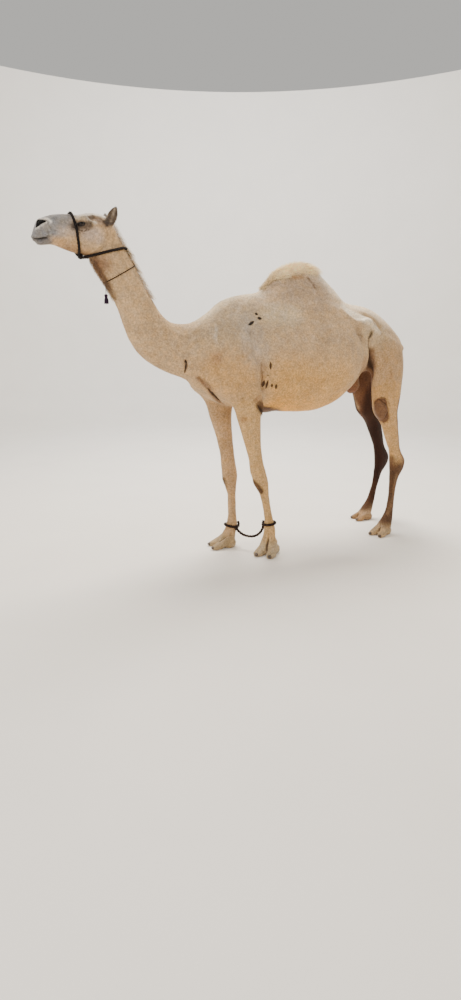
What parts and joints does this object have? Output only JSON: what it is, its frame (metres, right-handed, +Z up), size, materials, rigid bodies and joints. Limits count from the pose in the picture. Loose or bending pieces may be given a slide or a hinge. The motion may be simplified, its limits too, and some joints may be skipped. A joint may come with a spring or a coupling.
{
  "type": "dromedary camel",
  "caption": "Life-size dromedary camel standing still with head raised, one hump, slender legs with two-toed pads, rope halter, neck cord with tassel and a rope hobble.",
  "frame": {"origin": "on the floor, under the middle of the whole camel's box", "axes": "the camel faces -X, its left side is -Y, +Z is up"},
  "size_m": [3.0137, 0.6162, 2.3042],
  "materials": {
    "hide": "short flat cream coat, greyer muzzle, dark brown hind legs and bare brown pads",
    "tail_hair": "long brown hair",
    "eye": "wet, glossy, almost black",
    "nail": "dark worn horn",
    "halter_rope": "black braided rope",
    "hobble_rope": "dark brown twisted rope",
    "neck_cord": "thin dark twisted cord",
    "tassel_yarn": "dark purple yarn"
  },
  "bodies": {
    "root": {"ear_left": "hide", "ear_right": "hide", "eye_left": "eye", "eye_right": "eye", "fore_left_cannon": "hide", "fore_left_foot": "hide", "fore_left_forearm": "hide", "fore_left_nail_inner": "nail", "fore_left_nail_outer": "nail", "fore_right_cannon": "hide", "fore_right_foot": "hide", "fore_right_forearm": "hide", "fore_right_nail_inner": "nail", "fore_right_nail_outer": "nail", "halter_knot": "halter_rope", "head": "hide", "hind_left_cannon": "hide", "hind_left_foot": "hide", "hind_left_nail_inner": "nail", "hind_left_nail_outer": "nail", "hind_left_shank": "hide", "hind_right_cannon": "hide", "hind_right_foot": "hide", "hind_right_nail_inner": "nail", "hind_right_nail_outer": "nail", "hind_right_shank": "hide", "hobble_end": "hobble_rope", "hobble_left": "hobble_rope", "hobble_right": "hobble_rope", "hobble_rope": "hobble_rope", "hump": "hide", "neck": "hide", "neck_cord": "neck_cord", "noseband": "halter_rope", "pendant_string": "tassel_yarn", "tail": "hide", "tail_tuft": "tail_hair", "tassel": "tassel_yarn", "thigh_left": "hide", "thigh_right": "hide", "throat_rope": "halter_rope", "trunk": "hide"}
  },
  "joints": []
}
